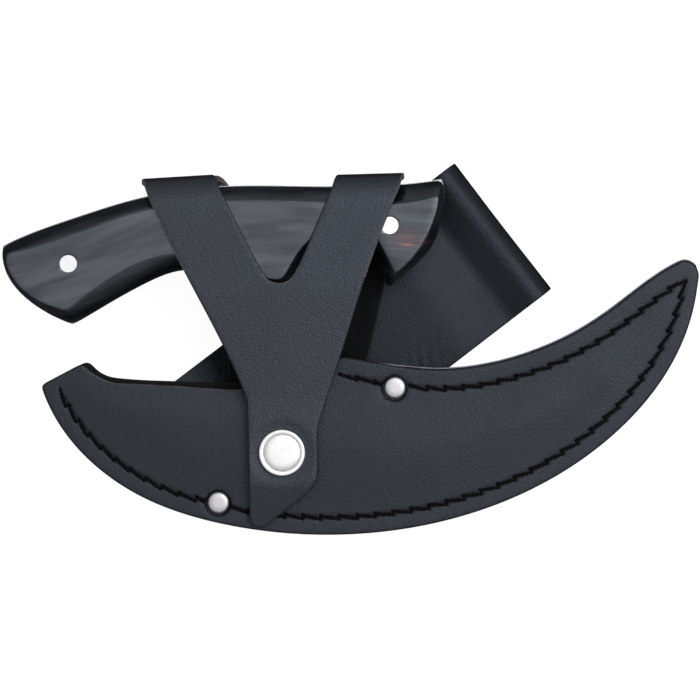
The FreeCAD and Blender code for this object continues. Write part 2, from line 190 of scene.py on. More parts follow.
def distance(points, line, closed=True):
    """Distance from each point to a line of points."""
    a = line if closed else line[:-1]
    ab = (np.roll(line, -1, axis=0) if closed else line[1:]) - a
    size = np.maximum((ab ** 2).sum(axis=1), 1e-12)
    best = []
    for i in range(0, len(points), 2000):
        p = points[i:i + 2000, None]
        t = np.clip(((p - a) * ab).sum(axis=2) / size, 0, 1)
        best.append(np.linalg.norm(p - a - t[..., None] * ab, axis=2).min(axis=1))
    return np.concatenate(best)


def inside(points, loop):
    """Whether each point lies within a closed loop."""
    x, y = points[:, :1], points[:, 1:]
    x0, y0 = loop.T
    x1, y1 = np.roll(loop, -1, axis=0).T
    crosses = (y0 > y) != (y1 > y)
    at = x0 + (y - y0) * (x1 - x0) / np.where(y1 == y0, 1, y1 - y0)
    return (crosses & (x < at)).sum(axis=1) % 2 == 1


def thin(points, gap, kept=()):
    """The points that stay at least gap from each other and from the kept ones."""
    cells = {}

    def cell(p):
        return (math.floor(p[0] / gap), math.floor(p[1] / gap))

    for p in kept:
        cells.setdefault(cell(p), []).append(p)
    chosen = []
    for p in points:
        i, j = cell(p)
        near = [q for a in (i - 1, i, i + 1) for b in (j - 1, j, j + 1) for q in cells.get((a, b), ())]
        if all((p[0] - q[0]) ** 2 + (p[1] - q[1]) ** 2 >= gap * gap for q in near):
            chosen.append(p)
            cells.setdefault((i, j), []).append(p)
    return np.array(chosen).reshape(-1, 2)


def honeycomb(low, high, step):
    """Evenly spread points over a box in the plane."""
    rows = np.arange(low[1], high[1], step * 0.866)
    columns = np.arange(low[0], high[0], step)
    x, y = np.meshgrid(columns, rows)
    x[1::2] += step / 2
    return np.stack([x.ravel(), y.ravel()], axis=1)


def rings_round(centre, radii, gap):
    """Circles of points about a centre."""
    rings = []
    for r in radii:
        a = np.linspace(0, 2 * math.pi, max(6, round(2 * math.pi * r / gap)), endpoint=False)
        rings.append(np.array(centre) + r * np.stack([np.cos(a), np.sin(a)], axis=1))
    return np.vstack(rings)


def rounded(corners, radii, gap=0.3):
    """Open line through the corners, the ones between its ends rounded to the given radii."""
    corners = np.array(corners, float)
    line = [corners[:1]]
    for a, b, c, r in zip(corners, corners[1:], corners[2:], radii):
        u = (a - b) / np.linalg.norm(a - b)
        v = (c - b) / np.linalg.norm(c - b)
        half = math.acos(np.clip(u @ v, -1, 1)) / 2
        reach = r / math.tan(half)
        centre = b + (u + v) / np.linalg.norm(u + v) * r / math.sin(half)
        p, q = b + u * reach - centre, b + v * reach - centre
        sweep = math.pi - 2 * half
        count = max(3, math.ceil(sweep * r / gap))
        turn = math.copysign(sweep, p[0] * q[1] - p[1] * q[0])
        for t in np.linspace(0, turn, count):
            line.append([centre + np.array([p[0] * math.cos(t) - p[1] * math.sin(t),
                                            p[0] * math.sin(t) + p[1] * math.cos(t)])])
    line.append(corners[-1:])
    return np.vstack(line)


def waves(plan, size, seed):
    """Gentle uneven swell from -1 to 1 over the plane, with humps about size across."""
    random = np.random.default_rng(seed)
    total = 0
    for _ in range(5):
        angle, phase = random.uniform(0, 2 * math.pi, 2)
        k = 2 * math.pi / (size * random.uniform(1.4, 3.0))
        total = total + np.sin(k * (plan @ np.array([math.cos(angle), math.sin(angle)])) + phase)
    return total / 5


class Unrolled:
    """A path in a plane that the middle of a sheet follows, by length along it."""

    def __init__(self, path):
        keep = np.concatenate([[True], norms(np.diff(path, axis=0)) > 1e-6])
        self.path = path[keep]
        self.length = lengths(self.path)
        self.tangent = np.gradient(self.path, self.length, axis=0)
        self.tangent /= norms(self.tangent)[:, None]

    def at(self, s, h):
        """Both coordinates of what lies at length s, and h out from the middle to the left of the path."""
        a, b, ta, tb = (np.interp(s, self.length, v) for v in (*self.path.T, *self.tangent.T))
        h = np.broadcast_to(h, len(s))
        return a - tb * h, b + ta * h


# Meshes ----------------------

def add(name, data):
    """New object in the scene."""
    obj = bpy.data.objects.new(name, data)
    bpy.context.scene.collection.objects.link(obj)
    return obj


def make(name, points, faces, materials, slots=None, uvs=None):
    """Smooth-shaded object from points in mm. Faces are turned outwards, and uvs has one pair per face corner."""
    mesh = bpy.data.meshes.new(name)
    mesh.from_pydata((np.asarray(points) * MM).tolist(), [], faces)
    for material in materials:
        mesh.materials.append(material)
    if slots is not None:
        mesh.polygons.foreach_set("material_index", slots)
    if uvs is not None:
        layer = mesh.uv_layers.new(name="grain")
        layer.data.foreach_set("uv", np.asarray(uvs, np.float32).ravel())
    mesh.polygons.foreach_set("use_smooth", [True] * len(mesh.polygons))
    mesh.calc_loop_triangles()
    p = np.array([v.co for v in mesh.vertices])
    t = p[np.array([t.vertices for t in mesh.loop_triangles])]
    if np.einsum("ij,ij->i", t[:, 0], np.cross(t[:, 1], t[:, 2])).sum() < 0:
        mesh.flip_normals()
    mesh.validate()
    return add(name, mesh)


def fill(ring, extra, outline, step, clear, gap):
    """Triangles of the area inside a ring of points, with the extra points and a honeycomb over the outline's box.

    The honeycomb keeps clear of the ring, and at least gap from the extra points.
    """
    grid = honeycomb(outline.min(axis=0), outline.max(axis=0), step)
    grid = grid[inside(grid, ring)]
    grid = thin(grid[distance(grid, ring) > clear], gap, extra)
    points = np.vstack([ring, extra, grid])
    out = delaunay_2d_cdt([Vector(p) for p in points], [], [list(range(len(ring)))], 1, 1e-7)
    back = [ids[0] for ids in out[3]]
    return points, [[back[i] for i in face] for face in out[2]]


UV_UNIT = 100.0  # mm to one unit of the grain map
ARC = np.radians([0, 25, 50, 70, 90])  # steps of a rounded edge


def band(low, high, n):
    """Quads between two rings of n points, given the number of each ring's first point."""
    return [[low + i, low + (i + 1) % n, high + (i + 1) % n, high + i] for i in range(n)]


def leather(name, loop, thick, place, materials, relief=None, under=None, edge=0.45, step=1.1, fine=(),
            edge_slot=None, raw_or_lit_wall=True):
    """Sheet of leather with rounded edges, cut to a loop.

    place turns plan points and heights from the sheet's middle into the object's frame. relief and under give how
    far the upper and the lower side stand proud. The materials are the face, the cut edge, the other side, and a
    fourth edge finish, which shows where edge_slot picks the loop's points: on the whole edge, or with the wall
    flag off only on its upper rounding. The fourth finish is the raw edge on the strap, and a painted highlight
    along the sheath's mouth and the horn's upper edge.
    """
    n = len(loop)
    radius = np.broadcast_to(np.asarray(edge, float), (n,))[:, None]
    normal = inward(loop)
    rings = [loop + normal * radius * (1 - math.cos(a)) for a in ARC]
    drops = [radius[:, 0] * (1 - math.sin(a)) for a in ARC]
    inner = rings[-1]
    extra = np.array(fine, float).reshape(-1, 2)
    if len(extra):
        extra = extra[inside(extra, inner)]
        extra = thin(extra[distance(extra, inner) > FINE_GAP], FINE_GAP)
    flat, triangles = fill(inner, extra, loop, step, step * 0.6, step * 0.7)
    plan = np.vstack(rings[:-1] + [flat])
    drop = np.concatenate(drops + [np.zeros(len(flat) - n)])
    over = thick / 2 - drop + (relief(plan) if relief else 0)
    below = -thick / 2 + drop - (under(plan) if under else 0)
    belt = loop - normal * radius * 0.15  # the edge's middle stands out a little
    m = len(plan)
    points = np.vstack([place(plan, over), place(plan, below), place(belt, (over[:n] + below[:n]) / 2)])
    uv_plan = plan / UV_UNIT
    arc = lengths(np.vstack([loop, loop[:1]])) / UV_UNIT
    faces, slots, uvs = [], [], []
    # Edge points for the fourth finish: the raw edge on the strap, a painted highlight on the sheath's mouth and
    # the horn's upper edge.
    raw = np.zeros(n, bool) if edge_slot is None else edge_slot(loop)
    last = len(rings) - 1
    for side, first in ((1, 0), (-1, m)):
        face_slot = 0 if side > 0 else 2
        for k in range(last):
            for i, quad in enumerate(band(k * n, (k + 1) * n, n)):
                quad = quad[::side]
                faces.append([first + v for v in quad])
                uvs.extend(uv_plan[quad])
                raw_or_lit_face = raw[i] and (raw_or_lit_wall or side > 0)
                cut = 3 if raw_or_lit_face else 1
                slots.append(cut if k < 2 or (raw_or_lit_face and k < 3) else face_slot)
        base = last * n
        for t in triangles:
            t = [base + v for v in t][::side]
            faces.append([first + v for v in t])
            uvs.extend(uv_plan[t])
            slots.append(face_slot)
    for low, high, v0, v1 in ((m, 2 * m, 0.0, 0.5), (2 * m, 0, 0.5, 1.0)):
        faces += band(low, high, n)
        for i in range(n):
            a, b = v0 * thick / UV_UNIT, v1 * thick / UV_UNIT
            uvs.extend([(arc[i], a), (arc[i + 1], a), (arc[i + 1], b), (arc[i], b)])
            slots.append(3 if raw[i] and raw_or_lit_wall else 1)
    return make(name, points, faces, materials, slots, uvs)


def flat_place(z):
    """place for a sheet that lies level, its middle at height z."""
    return lambda plan, h: np.column_stack([plan, z + np.broadcast_to(h, len(plan))])


def lathe(name, centre, profile, materials, count=96, flip=False):
    """Turned solid from a closed profile of (radius, height), both ends on the axis."""
    profile = np.array(profile, float)
    ends = profile[[0, -1]]
    body = profile[1:-1]
    points = [(centre[0], centre[1], ends[0][1]), (centre[0], centre[1], ends[1][1])]
    for r, z in body:
        for i in range(count):
            a = 2 * math.pi * i / count
            points.append((centre[0] + r * math.cos(a), centre[1] + r * math.sin(a), z))
    faces = []
    for i in range(count):
        j = (i + 1) % count
        faces.append([0, 2 + i, 2 + j])
        tail = 2 + (len(body) - 1) * count
        faces.append([1, tail + j, tail + i])
        for k in range(len(body) - 1):
            a = 2 + k * count
            faces.append([a + i, a + count + i, a + count + j, a + j])
    points = np.array(points)
    if flip:
        points[:, 2] = BACK_Z + FACE_Z - points[:, 2]
    return make(name, points, faces, materials)


def stand_for(piece, node, body):
    """The piece takes a CAD node's place and rides its body."""
    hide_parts(node)
    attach(piece, body)


# Materials -------------------

class Nodes:
    """The node tree of a material or a world."""

    def __init__(self, owner):
        owner.use_nodes = True
        self.tree = owner.node_tree

    def node(self, kind, inputs=None, **settings):
        node = self.tree.nodes.new("ShaderNode" + kind)
        for key, value in settings.items():
            setattr(node, key, value)
        for key, value in (inputs or {}).items():
            if isinstance(value, bpy.types.NodeSocket):
                self.tree.links.new(value, node.inputs[key])
            else:
                node.inputs[key].default_value = value
        return node


class Finish(Nodes):
    """A material and short ways to add nodes to it."""

    def __init__(self, name, **sockets):
        self.material = bpy.data.materials.new(name)
        super().__init__(self.material)
        self.shader = self.tree.nodes["Principled BSDF"]
        for socket, value in sockets.items():
            self.shader.inputs[socket.replace("_", " ")].default_value = value

    def grain_map(self, stretch=(1, 1, 1), turn=0.0):
        uv = self.node("UVMap", uv_map="grain").outputs[0]
        return self.node("Mapping", {"Vector": uv, "Scale": stretch, "Rotation": (0, 0, turn)}).outputs[0]

    def place_map(self, stretch=(1, 1, 1), shift=(0, 0, 0)):
        spot = self.node("TexCoord").outputs["Object"]
        return self.node("Mapping", {"Vector": spot, "Scale": stretch, "Location": shift}).outputs[0]

    def noise(self, vector, scale, detail=3.0, rough=0.55, distortion=0.0):
        return self.node("TexNoise", {"Vector": vector, "Scale": scale, "Detail": detail, "Roughness": rough,
                                      "Distortion": distortion}).outputs[0]

    def cells(self, vector, scale):
        return self.node("TexVoronoi", {"Vector": vector, "Scale": scale}, feature="SMOOTH_F1").outputs[0]

    def span(self, value, low, high, to_low=0.0, to_high=1.0):
        return self.node("MapRange", {"Value": value, "From Min": low, "From Max": high, "To Min": to_low,
                                      "To Max": to_high}, interpolation_type="SMOOTHSTEP").outputs[0]

    def maths(self, operation, a, b):
        return self.node("Math", {0: a, 1: b}, operation=operation).outputs[0]

    def mix(self, factor, a, b):
        return self.node("Mix", {0: factor, 6: a, 7: b}, data_type="RGBA").outputs[2]

    def bump(self, height, distance, normal=None):
        inputs = {"Height": height, "Distance": distance * MM}
        if normal is not None:
            inputs["Normal"] = normal
        return self.node("Bump", inputs).outputs[0]

    def set(self, **links):
        for socket, value in links.items():
            self.tree.links.new(value, self.shader.inputs[socket.replace("_", " ")])
        return self.material


def rgb(r, g, b):
    """Opaque colour, in linear light."""
    return (r, g, b, 1.0)


def leather_finish(name, grain, height, turn=0.0, gloss=0.52, fine=0.03):
    """Dyed grain leather: pebbles grain mm across and height mm tall, drawn out along one direction."""
    f = Finish(name, Specular_IOR_Level=gloss, Specular_Tint=rgb(0.74, 0.83, 1.0))
    plain = f.grain_map()
    mottle = f.noise(plain, UV_UNIT / 16, 4)
    pebbles = f.cells(f.grain_map((1, 1.35, 1), turn), UV_UNIT / grain)
    pores = f.noise(plain, UV_UNIT / 0.5, 4, 0.7)
    tint = f.mix(f.span(mottle, 0.35, 0.65), rgb(0.0058, 0.0064, 0.0085), rgb(0.0085, 0.0092, 0.012))
    colour = f.mix(f.span(pebbles, 0.25, 0.75), tint, rgb(0.0035, 0.004, 0.005))
    shine = f.maths("ADD", f.span(mottle, 0.3, 0.7, 0.36, 0.44), f.span(pores, 0.4, 0.7, 0.0, 0.08))
    hills = f.bump(f.maths("SUBTRACT", 1.0, pebbles), height)
    return f.set(Base_Color=colour, Roughness=shine, Normal=f.bump(pores, fine, hills))


def edge_finish(name, dark, light, rough):
    """Cut edge of leather, with fibres that run along it. Given light colours, it paints the highlights along the
    sheath's mouth and the horn's upper edge.
    """
    f = Finish(name, Specular_IOR_Level=0.4)
    fibres = f.noise(f.grain_map((1, 6, 1)), UV_UNIT / 0.9, 4, 0.6)
    patches = f.noise(f.grain_map(), UV_UNIT / 5)
    colour = f.mix(f.span(f.maths("MULTIPLY", fibres, patches), 0.12, 0.4), dark, light)
    return f.set(Base_Color=colour, Roughness=f.span(fibres, 0.3, 0.7, rough - 0.1, rough + 0.1),
                 Normal=f.bump(fibres, 0.06))


def flesh_finish():
    """Rough inner side of leather: matted olive-grey fibres at the crest of the strap, turned near black further
    down by painted shade.
    """
    f = Finish("flesh_side_and_painted_shade", Specular_IOR_Level=0.15)
    down = f.node("SeparateXYZ", {0: f.grain_map()}).outputs[1]
    mat = f.noise(f.grain_map(), UV_UNIT / 0.5, 6, 0.7, 0.6)
    clumps = f.noise(f.grain_map(), UV_UNIT / 3, 3)
    fibres = f.span(f.maths("MULTIPLY", mat, clumps), 0.15, 0.38)
    # Painted shade: from 10 to 17 mm past the crest the fibres go near black, standing in for the shade there.
    colour = f.mix(f.span(down, 10 / UV_UNIT, 17 / UV_UNIT),
                   f.mix(fibres, rgb(0.014, 0.014, 0.012), rgb(0.210, 0.195, 0.155)),
                   f.mix(fibres, rgb(0.004, 0.0046, 0.0052), rgb(0.0085, 0.009, 0.0095)))
    return f.set(Base_Color=colour, Roughness=f.span(mat, 0.2, 0.8, 0.85, 1.0), Normal=f.bump(mat, 0.12))


def thread_finish():
    """Black waxed thread with its fibres."""
    f = Finish("waxed_thread", Specular_IOR_Level=0.12)
    fibres = f.noise(f.place_map(), 5200, 3, 0.7)
    colour = f.mix(f.span(fibres, 0.35, 0.7), rgb(0.0008, 0.0008, 0.001), rgb(0.003, 0.003, 0.0035))
    return f.set(Base_Color=colour, Roughness=f.span(fibres, 0.3, 0.7, 0.45, 0.7), Normal=f.bump(fibres, 0.04))


def metal_finish(name, colour, rough, scratch=0.004, stretch=(1, 1, 1)):
    """Plated or brushed metal: fine marks, and a finish that is duller in patches."""
    f = Finish(name, Metallic=1.0)
    marks = f.noise(f.place_map(stretch), 2600, 4, 0.6)
    patches = f.noise(f.place_map(), 420, 3)
    deep = tuple(c * 0.93 for c in colour[:3]) + (1.0,)
    tint = f.mix(f.span(patches, 0.35, 0.65), deep, colour)
    dull = f.maths("ADD", f.span(patches, 0.3, 0.7, rough, rough + 0.07), f.span(marks, 0.4, 0.7, 0.0, 0.05))
    return f.set(Base_Color=tint, Roughness=dull, Normal=f.bump(marks, scratch))


def wood_finish():
    """Near-black polished hardwood: long fibres, paler streaks, and some red heartwood near both pins."""
    f = Finish("dark_hardwood", IOR=1.57, Specular_Tint=rgb(0.80, 0.88, 1.0))
    along = f.grain_map((1, 26, 1))
    fibres = f.noise(along, UV_UNIT / 14, 6, 0.62, 0.4)
    hairs = f.noise(f.grain_map((1, 40, 1)), UV_UNIT / 5, 4, 0.6, 0.2)
    bands = f.noise(f.grain_map((1, 7, 1)), UV_UNIT / 34, 3, 0.5, 0.5)
    tint = f.mix(f.span(bands, 0.35, 0.68), rgb(0.002, 0.0024, 0.0036), rgb(0.0075, 0.0085, 0.0115))
    tint = f.mix(f.span(fibres, 0.45, 0.75, 0.0, 0.75), tint, rgb(0.020, 0.021, 0.026))
    tint = f.mix(f.span(hairs, 0.52, 0.72, 0.0, 0.8), tint, rgb(0.003, 0.003, 0.004))
    for (x, y), (wide, high), share, colour in (
            (PINS["right"] + (5.2, -3.8), (6.5, 3.2), 0.9, rgb(0.120, 0.042, 0.034)),
            (PINS["right"] + (5.0, -5.2), (2.8, 0.8), 1.0, rgb(0.250, 0.072, 0.050)),
            (PINS["left"] + (-5.0, -6.5), (2.2, 1.6), 0.5, rgb(0.070, 0.034, 0.034)),
            (PINS["left"] + (70.0, 17.0), (30.0, 1.4), 0.2, rgb(0.040, 0.026, 0.020))):
        spot = f.place_map((1 / (wide * MM), 1 / (high * MM), 0), (-x / wide, -y / high, 0))
        near = f.span(f.node("VectorMath", {0: spot}, operation="LENGTH").outputs["Value"], 0.2, 1.1, 1.0, 0.0)
        lines = f.maths("MULTIPLY", f.span(fibres, 0.36, 0.52, 0.0, share), f.span(hairs, 0.36, 0.52, 0.15, 1.0))
        streak = f.maths("MULTIPLY", near, lines)
        tint = f.mix(streak, tint, colour)
    shine = f.maths("ADD", f.span(fibres, 0.3, 0.7, 0.15, 0.21), f.span(hairs, 0.4, 0.8, 0.0, 0.08))
    gloss = f.maths("ADD", f.span(bands, 0.32, 0.70, 0.58, 0.98), f.span(hairs, 0.45, 0.75, 0.12, -0.12))
    return f.set(Base_Color=tint, Roughness=shine, Specular_IOR_Level=gloss,
                 Normal=f.bump(f.maths("ADD", fibres, hairs), 0.014))


SHEATH_LEATHER = leather_finish("sheath_leather", 0.60, 0.060, fine=0.070)
STRAP_LEATHER = leather_finish("strap_leather", 0.54, 0.085, turn=0.6, gloss=0.72, fine=0.060)
LOOP_LEATHER = leather_finish("belt_loop_leather", 0.60, 0.065, turn=-0.5, gloss=0.36, fine=0.070)
INSIDE = edge_finish("sheath_inside", rgb(0.002, 0.002, 0.0022), rgb(0.0045, 0.0045, 0.0048), 0.9)
# Painted highlight: pale lavender-grey on the welt's edge along the horn's top, standing in for the line of light
# there.
PAINTED_HORN_HIGHLIGHT = edge_finish("painted_horn_highlight", rgb(0.210, 0.210, 0.290), rgb(0.400, 0.400, 0.520), 0.5)
# Painted highlight: lighter grey on the front panel's mouth edge, standing in for the light its rounded edge
# catches.
MOUTH_HIGHLIGHT = edge_finish("mouth_highlight_edge", rgb(0.030, 0.032, 0.038), rgb(0.090, 0.094, 0.105), 0.5)
BURNISHED = edge_finish("burnished_edge", rgb(0.009, 0.010, 0.013), rgb(0.024, 0.025, 0.030), 0.38)
RAW_EDGE = edge_finish("raw_edge", rgb(0.040, 0.039, 0.037), rgb(0.140, 0.134, 0.126), 0.75)
FLESH_AND_SHADE = flesh_finish()
THREAD = thread_finish()
RIVET_METAL = metal_finish("nickel_rivet", rgb(0.61, 0.60, 0.62), 0.38)
SNAP_METAL = metal_finish("nickel_snap", rgb(0.82, 0.82, 0.82), 0.20, 0.002)
PIN_METAL = metal_finish("nickel_pin", rgb(0.84, 0.84, 0.86), 0.30)
BLADE_METAL = metal_finish("satin_steel", rgb(0.42, 0.43, 0.45), 0.30, 0.006, (0.12, 3, 1))
WOOD = wood_finish()


# Stitching -------------------

STITCH_REACH = 2.55  # from the middle of a stitch to either of its holes
STITCH_SLANT = -9.0  # degrees off the seam's direction
STITCH_SINK = 0.22  # how deep the seam lies in the leather
PLY_R = 0.31  # of one of the thread's two plies
PLY_PITCH = 2.3  # length in which the plies go once round each other
PLY_SPREAD = 0.72  # of PLY_R, from the thread's middle to a ply's


def stitch_spots(node):
    """Middle (x, y) and heading of each stitch of a CAD thread node, in order along the row."""
    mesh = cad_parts[node].data
    points = np.array([v.co for v in mesh.vertices]) / MM
    names = {}
    ids = [names.setdefault(tuple(p), len(names)) for p in np.round(points, 3).tolist()]
    root = list(range(len(names)))

    def top(i):
        while root[i] != i:
            root[i] = root[root[i]]
            i = root[i]
        return i

    for polygon in mesh.polygons:
        first, *rest = [ids[v] for v in polygon.vertices]
        for other in rest:
            a, b = sorted((top(first), top(other)))
            root[b] = a
    groups = {}
    for p, i in names.items():
        groups.setdefault(top(i), []).append(p[:2])
    spots = []
    for group in groups.values():
        group = np.array(group)
        centre = (group.min(axis=0) + group.max(axis=0)) / 2
        axis = np.linalg.eigh(np.cov((group - centre).T))[1][:, 1]
        spots.append((centre, math.atan2(axis[1], axis[0])))
    return spots


def whole(spots):
    """The row with every stitch at its full length."""
    return [(centre, heading, 1.0) for centre, heading in spots]


def up_to_rivets(spots):
    """The row with a short stitch added on either side of each rivet, (x, y), heading and share of full length."""
    row = whole(spots)
    for rivet in RIVETS.values():
        near = sorted(spots, key=lambda spot: np.linalg.norm(spot[0] - rivet))[:2]
        for centre, heading in near:
            away = np.linalg.norm(rivet - centre)
            way = (rivet - centre) / away
            gap = away - STITCH_REACH - RIVET_R - 0.75
            if gap > 0.7:
                row.append((centre + way * (STITCH_REACH + gap / 2), heading, gap / (2 * STITCH_REACH)))
    return row


def stitch_ends(spots):
    """Holes at both ends of the stitches."""
    ends = []
    for centre, heading, share in spots:
        a = heading + math.radians(STITCH_SLANT)
        arm = share * STITCH_REACH * np.array([math.cos(a), math.sin(a)])
        ends += [centre - arm, centre + arm]
    return np.array(ends)


def two_ply():
    """One stitch along x: two twisted plies that come up out of one hole and go down the next."""
    path = rounded([(-STITCH_REACH, -1.1), (-STITCH_REACH, -0.05), (-1.3, 0.50), (1.1, 0.50),
                    (STITCH_REACH, -0.05), (STITCH_REACH, -1.1)], [0.35, 1.6, 1.6, 0.35], 0.2)
    length = lengths(path)
    at = np.linspace(0, length[-1], 34)
    x, z = np.interp(at, length, path[:, 0]), np.interp(at, length, path[:, 1])
    dx, dz = np.gradient(x, at), np.gradient(z, at)
    size = np.hypot(dx, dz)
    nx, nz = -dz / size, dx / size
    points, faces = [], []
    around = 8
    for ply in (0, math.pi):
        twist = ply + at * 2 * math.pi / PLY_PITCH
        across, up = np.cos(twist) * PLY_R * PLY_SPREAD, np.sin(twist) * PLY_R * PLY_SPREAD
        first = len(points)
        for i in range(len(at)):
            for k in range(around):
                a = 2 * math.pi * k / around
                side, rise = across[i] + PLY_R * math.cos(a), up[i] + PLY_R * math.sin(a)
                points.append((x[i] + nx[i] * rise, side, z[i] + nz[i] * rise))
        for i in range(len(at) - 1):
            for k in range(around):
                j = (k + 1) % around
                a, b = first + i * around, first + (i + 1) * around
                faces.append((a + k, b + k, b + j, a + j))
        faces.append(tuple(first + k for k in range(around)))
        faces.append(tuple(first + (len(at) - 1) * around + k for k in reversed(range(around))))
    return np.array(points), faces


def sew(name, spots, z, side, seed):
    """Every stitch of a row as one piece, lying on a surface at height z that faces up (1) or down (-1)."""
    shape, sides = two_ply()
    random = np.random.default_rng(seed)
    points, faces = [], []
    for centre, heading, share in spots:
        a = heading + math.radians(STITCH_SLANT + random.uniform(-3, 3))
        c, s = math.cos(a), math.sin(a)
        p = shape * [share, random.uniform(0.92, 1.08), 1]
        x, y = p[:, 0] * c - p[:, 1] * s, p[:, 0] * s + p[:, 1] * c
        first = sum(len(block) for block in points)
        points.append(np.column_stack([centre[0] + x, centre[1] + y,
                                       z + side * (p[:, 2] - STITCH_SINK + random.uniform(-0.05, 0.05))]))
        faces += [[first + v for v in face][::side] for face in sides]
    return make(name, np.vstack(points), faces, [THREAD])


# Sheath ----------------------

seam = {side: up_to_rivets(stitch_spots("edge_thread_" + side)) for side in ("front", "back")}
seam_line = np.array([spot[0] for spot in stitch_spots("edge_thread_front")])
HORN_STEP = 0.50  # how far the spacer stands out along the horn's upper edge
SHARE_THROUGH = 0.8  # of a panel's swell, as it shows on its inner side


def horn_highlight_edge(loop):
    """The upper edge of the sheath's right end, the horn, where the welt's edge gets a painted highlight."""
    return (loop[:, 0] > 8) & (-inward(loop)[:, 1] > 0.4) & (distance(loop, face_loop) < 1.0)


def mouth_highlight_edge(loop):
    """The edge that the knife goes in by, where the front panel gets a painted highlight."""
    return (loop[:, 0] < -4) & (-inward(loop)[:, 1] > 0.3) & (loop[:, 0] > -75)


def seam_points(spots):
    """Closely spaced points about the stitches, for the valley and the holes."""
    u, v = np.meshgrid(np.arange(-2.6, 2.7, 0.36), np.arange(-1.75, 1.8, 0.35))  # along and across a stitch
    blocks = []
    for centre, heading, _ in spots:
        c, s = math.cos(heading), math.sin(heading)
        blocks.append(centre + np.column_stack([(u * c - v * s).ravel(), (u * s + v * c).ravel()]))
    return np.vstack(blocks)


MOAT_SHIFT = (-0.22, -0.28)


def rivet_moats(plan, centres):
    """Leather pressed down round the rivets, a little further to the lower left."""
    total = 0
    for centre in centres:
        r = norms(plan - centre - MOAT_SHIFT)
        total = total - 0.75 * ease(3.62, 3.38, r) - 0.10 * bell(r - 3.7, 0.9)
    return total


def panel_relief(loop, spots, swell, seed):
    """Swell of a panel between its seams, the valley along the stitches, their holes, and the rivets' moats."""
    ends = stitch_ends(spots)

    def relief(plan):
        to_seam = distance(plan, seam_line, closed=False)
        to_edge = distance(plan, loop)
        within = ease(5.4, 8.0, to_seam + to_edge)
        rise = swell * (1 - bell(to_seam, 11.0)) * within * ease(0.0, 9.0, to_edge)
        valley = -0.20 * bell(to_seam, 0.7) - 0.05 * bell(to_seam, 2.2)
        holes = np.zeros(len(plan))
        near = to_seam < 2.5
        gap = np.min([norms(plan[near] - end) for end in ends], axis=0)
        holes[near] = -0.55 * bell(gap, 0.42)
        return rise + valley + holes + rivet_moats(plan, RIVETS.values()) + 0.10 * waves(plan, 22, seed)

    return relief


fine_points = np.vstack([rings_round(c, (2.4, 2.9, 3.2, 3.45, 3.6, 3.75, 3.95, 4.3, 4.8, 5.4), 0.4)
                        for c in RIVETS.values()] + [seam_points(seam["front"])])
face_loop = resample(edge_loop("sheath_front_panel", 1))
back_loop = resample(edge_loop("sheath_back_panel", -1))
welt_loop = resample(edge_loop("sheath_welt", 1))
welt_out = -inward(welt_loop)
upper = ease(0.35, 0.7, welt_out[:, 1]) * ease(4, 18, welt_loop[:, 0]) * (distance(welt_loop, face_loop) < 0.5)
welt_loop = welt_loop + welt_out * (HORN_STEP * upper)[:, None]
front_relief = panel_relief(face_loop, seam["front"], 0.75, 3)
back_relief = panel_relief(back_loop, seam["back"], 0.60, 4)

# The front panel's mouth edge wears the painted highlight.
sheath_front = leather("sheath_front", face_loop, PANEL, flat_place(FACE_Z - PANEL / 2),
                       [SHEATH_LEATHER, BURNISHED, INSIDE, MOUTH_HIGHLIGHT], relief=front_relief,
                       under=lambda p: -SHARE_THROUGH * np.maximum(front_relief(p), 0), edge=0.55,
                       fine=fine_points, edge_slot=mouth_highlight_edge, raw_or_lit_wall=False)
sheath_back = leather("sheath_back", back_loop, PANEL, flat_place(BACK_Z + PANEL / 2),
                      [INSIDE, BURNISHED, SHEATH_LEATHER], under=back_relief,
                      relief=lambda p: -SHARE_THROUGH * np.maximum(back_relief(p), 0), edge=0.55,
                      fine=fine_points)
# The welt's edge along the horn's top wears the painted highlight.
low, high = box_mm("sheath_welt")
welt = leather("welt", welt_loop, high[2] - low[2], flat_place((low[2] + high[2]) / 2),
               [INSIDE, BURNISHED, INSIDE, PAINTED_HORN_HIGHLIGHT], edge=0.35, step=2.0, edge_slot=horn_highlight_edge,
               raw_or_lit_wall=False)
stitches_front = sew("stitches_front", seam["front"], FACE_Z, 1, 11)
stitches_back = sew("stitches_back", seam["back"], BACK_Z, -1, 12)
for piece, node in ((sheath_front, "sheath_front_panel"), (sheath_back, "sheath_back_panel"),
                    (welt, "sheath_welt")):
    stand_for(piece, node, "sheath")
for piece, node in ((stitches_front, "edge_thread_front"), (stitches_back, "edge_thread_back")):
    stand_for(piece, node, "sheath")


def rivet_profile(z):
    """Cap that stands on the leather: nearly flat on top, rolled down at the rim."""
    return rounded([(0.0, z + 1.22), (1.6, z + 1.20), (RIVET_R, z + 1.00), (RIVET_R, z - 0.4),
                    (RIVET_R - 0.4, z - 0.8), (0.0, z - 0.8)], [5.0, 0.75, 0.2, 0.1], 0.1)


for side, centre in RIVETS.items():
    cap = lathe("rivet_" + side, centre, rivet_profile(FACE_Z), [RIVET_METAL])
    post = lathe("rivet_back_" + side, centre, rivet_profile(FACE_Z), [RIVET_METAL], flip=True)
    stand_for(cap, "rivet_cap_" + side, "sheath")
    stand_for(post, "rivet_post_" + side, "sheath")


# Strap -----------------------

